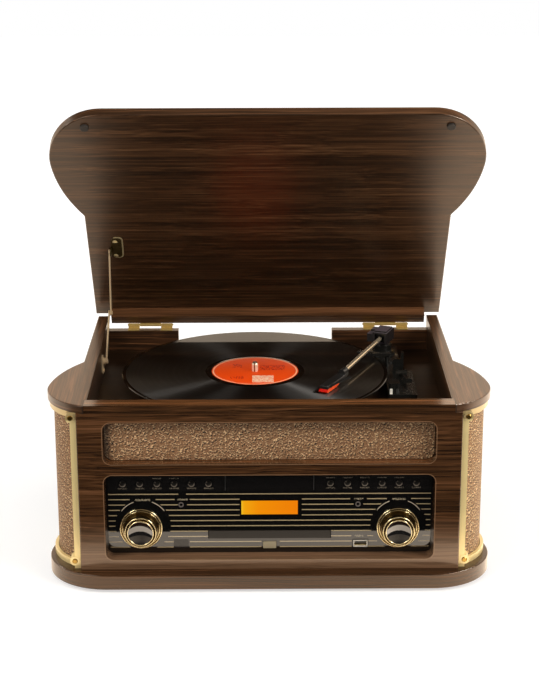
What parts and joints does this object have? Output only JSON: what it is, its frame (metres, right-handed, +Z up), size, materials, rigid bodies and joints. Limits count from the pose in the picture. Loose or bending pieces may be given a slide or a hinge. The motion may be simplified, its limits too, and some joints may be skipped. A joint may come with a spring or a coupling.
{
  "type": "tabletop record player",
  "caption": "Tabletop record player with an open wooden lid on a folding stay, tonearm, curved cloth speaker corners in brass frames, radio knobs and a disc tray.",
  "frame": {"origin": "on the table under the middle of the plinth, between its front and rear edges", "axes": "+X to the right seen from the front, +Y to the back, +Z up; the panel with the knobs faces -Y"},
  "size_m": [0.4836, 0.3645, 0.4877],
  "materials": {
    "case_wood": "stained, satin lacquer",
    "lid_wood": "stained, gloss lacquer",
    "rubber": "matte",
    "board": "raw fibreboard",
    "grille_cloth": "woven",
    "brass": "polished",
    "driver": "black",
    "fascia": "high gloss black",
    "display": "tinted",
    "socket": "black",
    "board_electronic": "solder resist",
    "mechanism": "black",
    "tray": "dark grey",
    "gold_trim": "plated, polished",
    "key": "gloss black",
    "platter": "black",
    "vinyl": "grooved black",
    "arm_plastic": "black",
    "arm_metal": "polished",
    "stylus": "translucent orange",
    "switch": "light grey"
  },
  "bodies": {
    "case": {"plinth": "case_wood", "rubber_feet": "rubber", "front_panel": "case_wood", "side_wall_right": "case_wood", "side_wall_left": "case_wood", "rear_wall": "case_wood", "wing_right": "case_wood", "wing_left": "case_wood", "speaker_baffles": "board", "grille_cloth_right": "grille_cloth", "grille_cloth_left": "grille_cloth", "grille_cloth_front": "grille_cloth", "brass_frame_right": "brass", "brass_frame_left": "brass", "frame_screws": "brass", "speaker_drivers": "driver", "fascia": "fascia", "display_windows": "display", "sockets": "socket", "control_board": "board_electronic", "cd_mechanism": "mechanism", "deck": "case_wood", "motor": "mechanism", "drive_belt": "rubber", "tonearm_base": "arm_plastic", "hinge_fixed_leaves": "brass", "stay_wall_bracket": "brass"},
    "lid": {"lid_board": "lid_wood", "lid_rail": "case_wood", "lid_bumpers": "rubber", "hinge_lid_leaves": "brass", "stay_lid_bracket": "brass"},
    "stay_upper": {"stay_upper_link": "brass"},
    "stay_lower": {"stay_lower_link": "brass"},
    "turntable": {"platter": "platter", "record": "vinyl"},
    "pulley": {"motor_pulley": "platter"},
    "arm_swivel": {"tonearm_pivot": "arm_plastic"},
    "arm": {"tonearm_tube": "arm_metal", "headshell": "arm_plastic", "cartridge": "stylus"},
    "cue": {"cue_lever": "arm_plastic"},
    "volume": {"volume_knob": "gold_trim"},
    "tuning": {"tuning_knob": "gold_trim"},
    "tray": {"cd_tray": "tray"},
    "eject": {"eject_button": "gold_trim"},
    "speed": {"speed_switch": "switch"},
    "auto_stop": {"auto_stop_switch": "switch"},
    "key_01": {"button_01": "key"},
    "key_02": {"button_02": "key"},
    "key_03": {"button_03": "key"},
    "key_04": {"button_04": "key"},
    "key_05": {"button_05": "key"},
    "key_06": {"button_06": "key"},
    "key_07": {"button_07": "key"},
    "key_08": {"button_08": "key"},
    "key_09": {"button_09": "key"},
    "key_10": {"button_10": "key"},
    "key_11": {"button_11": "key"},
    "key_12": {"button_12": "key"}
  },
  "joints": [
    {"name": "lid_hinge", "type": "hinge", "parent": "case", "child": "lid", "pos_m": [0, 0.1735, 0.1939], "axis": [-1, 0, 0], "range_deg": [-56.9, 0]},
    {"name": "stay_upper_pivot", "type": "hinge", "parent": "lid", "child": "stay_upper", "pos_m": [-0.1849, 0.11707, 0.29988], "axis": [-1, 0, 0], "range_deg": [-29.6, 0.1]},
    {"name": "stay_lower_pivot", "type": "hinge", "parent": "case", "child": "stay_lower", "pos_m": [-0.187, 0.058, 0.1855], "axis": [-1, 0, 0], "range_deg": [-0.1, 26.1]},
    {"name": "platter_spin", "type": "hinge", "parent": "case", "child": "turntable", "pos_m": [-0.0154, 0.0245, 0.17], "axis": [0, 0, 1], "continuous": true},
    {"name": "motor_spin", "type": "hinge", "parent": "case", "child": "pulley", "pos_m": [-0.08588, -0.00115, 0.165], "axis": [0, 0, 1], "continuous": true},
    {"name": "arm_swing", "type": "hinge", "parent": "case", "child": "arm_swivel", "pos_m": [0.1355, 0.118, 0.1952], "axis": [0, 0, 1], "range_deg": [-18, 33]},
    {"name": "arm_lift", "type": "hinge", "parent": "arm_swivel", "child": "arm", "pos_m": [0.1355, 0.118, 0.1952], "axis": [-0.9239, 0.3827, 0], "range_deg": [0, 8]},
    {"name": "cue_lift", "type": "hinge", "parent": "case", "child": "cue", "pos_m": [0.151, 0.024, 0.181], "axis": [-1, 0, 0], "range_deg": [-0.1, 28.2]},
    {"name": "volume_turn", "type": "hinge", "parent": "case", "child": "volume", "pos_m": [-0.138, -0.14, 0.0601], "axis": [0, -1, 0], "range_deg": [-150, 150]},
    {"name": "tuning_turn", "type": "hinge", "parent": "case", "child": "tuning", "pos_m": [0.138, -0.14, 0.0601], "axis": [0, -1, 0], "continuous": true},
    {"name": "tray_slide", "type": "slide", "parent": "case", "child": "tray", "axis": [0, -1, 0], "range_m": [0, 0.147]},
    {"name": "eject_press", "type": "slide", "parent": "case", "child": "eject", "axis": [0, 1, 0], "range_m": [0, 0.0012], "stiffness_N_per_m": 300},
    {"name": "speed_slide", "type": "slide", "parent": "case", "child": "speed", "axis": [0, 1, 0], "range_m": [0, 0.006]},
    {"name": "auto_stop_slide", "type": "slide", "parent": "case", "child": "auto_stop", "axis": [0, 1, 0], "range_m": [0, 0.006]},
    {"name": "key_01_press", "type": "slide", "parent": "case", "child": "key_01", "axis": [0, 1, 0], "range_m": [0, 0.0012], "stiffness_N_per_m": 300},
    {"name": "key_02_press", "type": "slide", "parent": "case", "child": "key_02", "axis": [0, 1, 0], "range_m": [0, 0.0012], "stiffness_N_per_m": 300},
    {"name": "key_03_press", "type": "slide", "parent": "case", "child": "key_03", "axis": [0, 1, 0], "range_m": [0, 0.0012], "stiffness_N_per_m": 300},
    {"name": "key_04_press", "type": "slide", "parent": "case", "child": "key_04", "axis": [0, 1, 0], "range_m": [0, 0.0012], "stiffness_N_per_m": 300},
    {"name": "key_05_press", "type": "slide", "parent": "case", "child": "key_05", "axis": [0, 1, 0], "range_m": [0, 0.0012], "stiffness_N_per_m": 300},
    {"name": "key_06_press", "type": "slide", "parent": "case", "child": "key_06", "axis": [0, 1, 0], "range_m": [0, 0.0012], "stiffness_N_per_m": 300},
    {"name": "key_07_press", "type": "slide", "parent": "case", "child": "key_07", "axis": [0, 1, 0], "range_m": [0, 0.0012], "stiffness_N_per_m": 300},
    {"name": "key_08_press", "type": "slide", "parent": "case", "child": "key_08", "axis": [0, 1, 0], "range_m": [0, 0.0012], "stiffness_N_per_m": 300},
    {"name": "key_09_press", "type": "slide", "parent": "case", "child": "key_09", "axis": [0, 1, 0], "range_m": [0, 0.0012], "stiffness_N_per_m": 300},
    {"name": "key_10_press", "type": "slide", "parent": "case", "child": "key_10", "axis": [0, 1, 0], "range_m": [0, 0.0012], "stiffness_N_per_m": 300},
    {"name": "key_11_press", "type": "slide", "parent": "case", "child": "key_11", "axis": [0, 1, 0], "range_m": [0, 0.0012], "stiffness_N_per_m": 300},
    {"name": "key_12_press", "type": "slide", "parent": "case", "child": "key_12", "axis": [0, 1, 0], "range_m": [0, 0.0012], "stiffness_N_per_m": 300}
  ],
  "couplings": [
    {"joint": "stay_upper_pivot", "follows": "lid_hinge", "ratio": 0.5167},
    {"joint": "stay_lower_pivot", "follows": "lid_hinge", "ratio": -0.45518},
    {"joint": "motor_spin", "follows": "platter_spin", "ratio": 10.909},
    {"joint": "cue_lift", "follows": "arm_lift", "ratio": 3.5}
  ]
}
